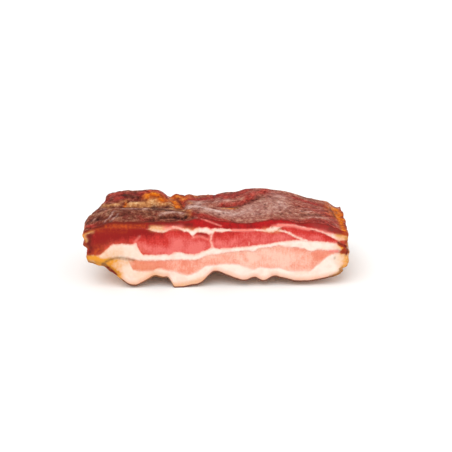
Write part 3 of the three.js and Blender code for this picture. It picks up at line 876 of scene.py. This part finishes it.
# %% What the finishes share
# Inputs that share a name have numbers. In Map Range 0 is the value, 1 and 2 are where it
# starts and ends, and 3 and 4 what those two become. In Mix 0 is the share, and with these
# settings 6 and 7 are the two colours. In Math they are the terms, in their order.
OF_COLOURS = {"out": 2, "data_type": "RGBA"}


def graded(put, share, dark, middle, light):
    """Three tones: from dark to middle over the lower half of share, and on to light."""
    lower = put("MapRange", {0: share, 1: 0.0, 2: 0.5})
    upper = put("MapRange", {0: share, 1: 0.5, 2: 1.0})
    tones = put("Mix", {0: lower, 6: dark, 7: middle}, **OF_COLOURS)
    return put("Mix", {0: upper, 6: tones, 7: light}, **OF_COLOURS)


def summed(put, start, patterns):
    """start plus each pattern times its strength."""
    for pattern, strength in patterns:
        start = put("Math", {0: pattern, 1: strength, 2: start}, operation="MULTIPLY_ADD")
    return start


def stain_shares(put, broken):
    """How much each stain covers: its number on the point times the noise that breaks it up."""
    shares = {stain: put("Attribute", attribute_name=stain, out="Fac") for stain, *_ in STAINS}
    return {stain: put("Math", {0: share, 1: broken}, operation="MULTIPLY", use_clamp=True)
            for stain, share in shares.items()}


def surface(put, base, gloss, height, strength, relief_mm, shading):
    """The end of a finish: bumps as high as relief_mm, the Principled shader, the output."""
    bumps = put("Bump", {"Strength": strength, "Distance": relief_mm * MM, "Height": height})
    shader = put("BsdfPrincipled", {"Base Color": base, "Roughness": gloss, "Normal": bumps,
                                    **shading})
    put("OutputMaterial", {"Surface": shader})


print("stains:", *(stain for stain, *_ in STAINS))

# %% [markdown]
# ## Cut meat and fat
#
# The same tissue shows at both cut faces, so one function makes the finish of
# every layer and takes that layer's three lean colours. Fat or lean is decided
# by the depth inside lean, with fine noise added so that the border frays at a
# scale the mesh can't hold. Lean is coloured by its tone, broken by clouds and
# by fibres that stand upright, 1.2 mm wide and 7 mm tall. Fat is ivory, rosy
# beside lean, and peach towards the rind. The last 2 mm under the crust are
# browned. Then come the stains: tan and amber from the smoke, dried blood at
# the rims, pale bloom, and soot in the creases. The rind's brown cut edge lies
# over the tan and under the rest.

# %% Cut flesh: moist, soft gloss; fat nearly white, lean rosy and a little duller
FAT_IVORY, FAT_ROSY, FAT_PEACH, FAT_BY_LEAN = "#f3e3d6", "#f1c7b5", "#e6a482", "#f0a490"
# amber in fat, and the darkest and the lightest amber in lean
AMBER_IN_FAT, AMBER_DARK, AMBER_LIGHT = "#e2982e", "#96260a", "#bf4a12"
FAT_TAN, DRIED_BLOOD, PALE_BLOOM, CREASE_SOOT = "#e2a66c", "#701407", "#f08478", "#8c5c30"
RIND_BROWN, UNDER_CRUST = "#6e4030", "#6e2118"


def flesh(name, softness, deep, middle, light):
    """Cut face of one layer, with that layer's lean from its deepest to its lightest. The
    softness is how many millimetres it takes to get from fat into lean."""
    material, put, space = new_material(name)
    # (size in mm, detail)
    lobes, clouds, grain = (
        put("TexNoise", {"Vector": space, "Scale": 1 / size, "Detail": detail})
        for size, detail in ((2.2, 4.0), (8, 3.0), (1.3, 2.0)))
    upright = put("Mapping", {"Vector": space, "Scale": (1, 1, 1 / 6)})
    fibres = put("TexNoise", {"Vector": upright, "Scale": 1 / 1.2, "Detail": 3.0})
    depth, tone, skin, under = (put("Attribute", attribute_name=number, out="Fac")
                                for number in ("lean_mm", "tone", "skin_mm", "crust_mm"))

    frayed = put("Math", {0: lobes, 1: 2.4, 2: -1.2}, operation="MULTIPLY_ADD")
    frayed = put("Math", {0: depth, 1: frayed}, operation="ADD")
    is_lean = put("MapRange", {0: frayed, 1: -softness / 2, 2: softness / 2},
                  interpolation_type="SMOOTHSTEP")
    tone = summed(put, tone, [(clouds, 1.1), (fibres, 0.5), (grain, 0.6)])
    lean = graded(put, put("MapRange", {0: tone, 1: 1.0, 2: 2.1}), deep, middle, light)

    rosy = put("MapRange", {0: clouds, 1: 0.45, 2: 0.75, 4: 0.7})
    near_rind = put("MapRange", {0: skin, 1: 6.5, 2: 0.8, 4: 0.9})
    in_rind = put("MapRange", {0: skin, 1: 1.8, 2: 1.0}, interpolation_type="SMOOTHSTEP")
    by_lean = put("MapRange", {0: frayed, 1: -2.0, 2: 0.2, 4: 0.8})
    under = summed(put, under, [(lobes, 2.4)])
    smoky = put("MapRange", {0: under, 1: 2.8, 2: 1.0, 4: 0.75})
    blotches = put("MapRange", {0: lobes, 1: 0.35, 2: 0.65})
    amber = put("Mix", {0: blotches, 6: AMBER_DARK, 7: AMBER_LIGHT}, **OF_COLOURS)
    amber = put("Mix", {0: is_lean, 6: AMBER_IN_FAT, 7: amber}, **OF_COLOURS)
    stain = stain_shares(put, put("MapRange", {0: lobes, 1: 0.35, 2: 0.65, 3: 0.75, 4: 1.15}))

    base = FAT_IVORY
    for share, tint in ((rosy, FAT_ROSY), (near_rind, FAT_PEACH), (by_lean, FAT_BY_LEAN),
                        (is_lean, lean), (smoky, UNDER_CRUST), (stain["tan"], FAT_TAN),
                        (in_rind, RIND_BROWN), (stain["amber"], amber),
                        (stain["blood"], DRIED_BLOOD), (stain["bloom"], PALE_BLOOM),
                        (stain["soot"], CREASE_SOOT)):
        base = put("Mix", {0: share, 6: base, 7: tint}, **OF_COLOURS)

    gloss = put("MapRange", {0: lobes, 1: 0.3, 2: 0.7, 3: 0.36, 4: 0.52})
    height = put("Math", {0: lobes, 1: fibres}, operation="ADD")
    surface(put, base, gloss, height, strength=0.35, relief_mm=0.4, shading={
        "IOR": 1.42, "Specular IOR Level": 0.25, "Subsurface Weight": 0.25,
        "Subsurface Scale": 1.2 * MM, "Subsurface Radius": (1.0, 0.4, 0.25)})
    return material


back_fat = flesh("cut_back_fat", 2.4, "#dc7552", "#e9957a", "#f1b9a2")
pale_lean = flesh("cut_pale_lean", 2.8, "#dc6e4e", "#e88f76", "#f0c2ae")
inner_fat = flesh("cut_white_fat", 1.6, "#94180f", "#cf3f36", "#e67a6a")
red_lean = flesh("cut_red_lean", 2.0, "#900805", "#cb312a", "#e26e67")
top_lean = flesh("cut_crimson_lean", 1.8, "#7c0404", "#b4060c", "#cc322c")
print("cut faces:", back_fat.name, pale_lean.name, inner_fat.name, red_lean.name, top_lean.name)

# %% [markdown]
# ## The smoked crust
#
# Hours in the smoke dried the outside to a tough brown skin. It is mauve-brown
# where the meat is lean, amber where fat lies under it, and a pale dry bloom
# lies on what stands up. One could paint it flat and trust the light to do the
# rest, but the skin's colour changes every 2 to 3 mm. So three sizes of noise
# set how light it is: patches of 5 mm, grains of 2.6 mm and specks of 1.2 mm.
# The relief sets it too: crests are painted lighter and hollows darker, which is
# partly the dry bloom and partly painted shade and highlight. Clouds of 7 mm
# turn its hue to maroon or to olive brown, and five stains lie over that, each
# in three tones of its own, so that they look grown in.

# %% Smoked crust: dry and leathery, dull gloss on the high spots
# (stain, dark, middle, light), from the one laid on first to the one over all others
# bloom also carries painted highlights, blood one painted shadow band, and soot painted shade in
# creases, pits and under folds
CRUST_STAINS = (
    ("bloom", "#8f6258", "#c4988c", "#ebccc2"), ("tan", "#7c4226", "#c4834e", "#edc290"),
    ("blood", "#540a0a", "#962a22", "#cb5a4a"), ("amber", "#8e3206", "#d16206", "#f29c28"),
    ("soot", "#240d0a", "#451f17", "#764b36"))
# (from, to, share, dark, middle, light) of the maroon and of the olive-brown clouds
CRUST_HUES = ((0.52, 0.64, 0.6, "#3c0f0f", "#7c2c26", "#b0594a"),
              (0.44, 0.34, 0.4, "#432212", "#87533a", "#c49a78"))


def smoked(name):
    """Top and ends of the crimson lean, and everything that the smoke reached."""
    material, put, space = new_material(name)
    # (size in mm, detail, more)
    grains, specks, patches, hues = (
        put("TexNoise", {"Vector": space, "Scale": 1 / size, "Detail": detail, **more})
        for size, detail, more in ((2.6, 4.0, {"Roughness": 0.65}), (1.2, 2.0, {}),
                                   (5, 4.0, {}), (7, 3.0, {"Distortion": 1.0})))
    proud, on_left = (put("Attribute", attribute_name=number, out="Fac")
                      for number in ("proud_mm", "crumpled"))

    # Crests are painted lighter and hollows darker by their height: partly the dry bloom, partly
    # painted shade and highlight.
    light = put("Math", {0: proud, 1: 0.25, 2: -1.1}, operation="MULTIPLY_ADD")
    light = summed(put, light, [(grains, 1.3), (specks, 0.7), (patches, 1.2)])
    left = graded(put, light, "#3a120c", "#7a3b2b", "#b68064")
    right = graded(put, light, "#682e25", "#a4604f", "#d3a089")
    base = put("Mix", {0: on_left, 6: right, 7: left}, **OF_COLOURS)
    coats = [(put("MapRange", {0: hues, 1: start, 2: end, 4: most}), tones)
             for start, end, most, *tones in CRUST_HUES]
    shares = stain_shares(put, put("MapRange", {0: patches, 1: 0.32, 2: 0.65, 3: 0.6, 4: 1.25}))
    coats += [(shares[stain], tones) for stain, *tones in CRUST_STAINS]
    for share, tones in coats:
        coat = graded(put, light, *tones)
        base = put("Mix", {0: share, 6: base, 7: coat}, **OF_COLOURS)

    gloss = put("MapRange", {0: grains, 1: 0.3, 2: 0.7, 3: 0.75, 4: 0.52})
    height = put("Math", {0: specks, 1: grains}, operation="ADD")
    surface(put, base, gloss, height, strength=0.8, relief_mm=1.2, shading={
        "IOR": 1.45, "Specular IOR Level": 0.12, "Subsurface Weight": 0.05,
        "Subsurface Scale": 1.0 * MM, "Subsurface Radius": (1.0, 0.3, 0.15)})
    return material


smoked_crust = smoked("smoked_crust")
print(smoked_crust.name, "has", len(smoked_crust.node_tree.nodes), "nodes")

# %% [markdown]
# ## The rind
#
# The rind is pig skin, scalded, scraped and smoked: tan leather with a fine
# wrinkle and pores every few millimetres. It shows as a thin brown line along
# both cuts, and whole from below. A cell pattern gives the pores: Voronoi
# distance is 0 in the middle of a cell, so a threshold near 0 leaves small dots.

# %% Smoked rind: tan leather, satin, with pores


def rind_leather(name):
    """Skin on the underside: tan with amber clouds, darker pores 2.5 mm apart."""
    material, put, space = new_material(name)
    clouds = put("TexNoise", {"Vector": space, "Scale": 1 / 8, "Detail": 4.0})
    wrinkled = put("TexNoise", {"Vector": space, "Scale": 1 / 1.5, "Detail": 4.0})
    cells = put("TexVoronoi", {"Vector": space, "Scale": 1 / 2.5}, out="Distance")
    pores = put("MapRange", {0: cells, 1: 0.22, 2: 0.1})
    share = put("MapRange", {0: clouds, 1: 0.35, 2: 0.65})
    base = put("Mix", {0: share, 6: "#a8683e", 7: "#d8a273"}, **OF_COLOURS)
    base = put("Mix", {0: pores, 6: base, 7: "#70401f"}, **OF_COLOURS)
    height = put("Math", {0: pores, 1: -0.6, 2: wrinkled}, operation="MULTIPLY_ADD")
    gloss = put("MapRange", {0: wrinkled, 1: 0.3, 2: 0.7, 3: 0.5, 4: 0.62})
    surface(put, base, gloss, height, strength=0.5, relief_mm=0.5, shading={
        "IOR": 1.45, "Subsurface Weight": 0.1, "Subsurface Scale": 1.0 * MM,
        "Subsurface Radius": (1.0, 0.4, 0.2)})
    return material


smoked_rind = rind_leather("smoked_rind")
print(smoked_rind.name, "has", len(smoked_rind.node_tree.nodes), "nodes")

# %% [markdown]
# ## The six layers
#
# Each layer now gets its two heights and its finish, rides on the one body, and
# the imported solid of its name is hidden.

# %% Making the layers


def sheet(which):
    """One border as a height function."""
    return lambda x, v: border(which, x, v)


TOP_ROUNDED = ({"top", "left"}, {"top", "right"})
LAYERS = [
    ("back_fat_and_its_rind", "back_fat_and_rind", "back_fat",
     dict(low=underside, high=sheet(1), levels=16, row=1.2,
          finishes={"front": back_fat, "bottom": smoked_rind})),
    ("pale_lean_lens", "lower_lean", "pale_lean",
     dict(low=sheet(1), high=sheet(2), levels=18, start=LENS_LEFT_TIP + 0.5,
          end=LENS_RIGHT_TIP - 1, finishes={"front": pale_lean})),
    ("white_fat_layer", "middle_fat", "inner_fat",
     dict(low=sheet(2), high=sheet(3), levels=12, finishes={"front": inner_fat})),
    ("red_lean_layer", "middle_lean", "red_lean",
     dict(low=sheet(3), high=sheet(4), levels=20, finishes={"front": red_lean})),
    ("fat_seam", "upper_fat", "inner_fat",
     dict(low=sheet(4), high=sheet(5), levels=6, finishes={"front": inner_fat})),
    ("crimson_lean_and_crust", "upper_lean_and_crust", "smoked_crust",
     dict(low=sheet(5), high=crust, levels=10, row=0.8, rounded=TOP_ROUNDED,
          finishes={"front": top_lean, "top": smoked_crust, "left": smoked_crust,
                    "right": smoked_crust})),
]
for name, node, slot, form in LAYERS:
    piece = layer(name, **form)
    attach(piece, "root")
    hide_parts(node)

# %% [markdown]
# ## Camera, floor and light
#
# A long lens from a little more than a metre away, looking down by 25 degrees,
# keeps the strip nearly without perspective. The floor is white paper, and the
# light is a bright tent: even light from everywhere, with a wide softbox high
# at the front left and a weak fill at the right. They are sun lamps, so they
# light both ends alike, and their width lets the folds cast a soft shade.

# %% Camera
CAMERA_HEIGHT_ANGLE, CAMERA_DISTANCE, LENS = 25.0, 1.087, 100
LOOK_AT = np.array([7.58, 0, 40.88]) - MIDDLE

tilt = math.radians(CAMERA_HEIGHT_ANGLE)
camera = in_scene("camera", bpy.data.cameras.new("camera"))
camera.data.lens = LENS
camera.location = LOOK_AT * MM + CAMERA_DISTANCE * np.array([0, -math.cos(tilt), math.sin(tilt)])
camera.rotation_euler = (math.pi / 2 - tilt, 0, 0)
camera.data.clip_start, camera.data.clip_end = 0.05, 20
bpy.context.scene.camera = camera
print("the camera stands", CAMERA_DISTANCE, "m away and", CAMERA_HEIGHT_ANGLE, "degrees up")

# %% Floor: matt white paper
FLOOR_HALF = 4.0
corners = [(-FLOOR_HALF, -FLOOR_HALF, 0), (FLOOR_HALF, -FLOOR_HALF, 0),
           (FLOOR_HALF, FLOOR_HALF, 0), (-FLOOR_HALF, FLOOR_HALF, 0)]
paper_sheet = bpy.data.meshes.new("floor")
paper_sheet.from_pydata(corners, [], [(0, 1, 2, 3)])
paper, put, _ = new_material("white_paper")
put("OutputMaterial", {"Surface": put("BsdfPrincipled", {"Base Color": "#fbfbfa",
                                                         "Roughness": 0.9})})
paper_sheet.materials.append(paper)
floor = in_scene("floor", paper_sheet)
print("the floor is", 2 * FLOOR_HALF, "m wide")

# %% Light
# (name, compass angle, height angle, width in degrees, strength)
LAMPS = [("softbox", -25, 60, 50, 1.4), ("side_fill", 60, 35, 60, 0.35)]
for name, compass, height, width, strength in LAMPS:
    lamp = in_scene(name, bpy.data.lights.new(name, "SUN"))
    lamp.data.angle, lamp.data.energy = math.radians(width), strength
    lamp.rotation_euler = (math.radians(90 - height), 0, math.radians(compass))

world = bpy.data.worlds.new("light_tent")
world.use_nodes = True
world.node_tree.nodes["Background"].inputs["Color"].default_value = (1, 1, 1, 1)
world.node_tree.nodes["Background"].inputs["Strength"].default_value = 0.75
bpy.context.scene.world = world
bpy.context.scene.view_settings.view_transform = "Standard"
print(len(LAMPS), "lamps and a light tent")

# %% The imported solids' box
print("packed box:", cad_box)
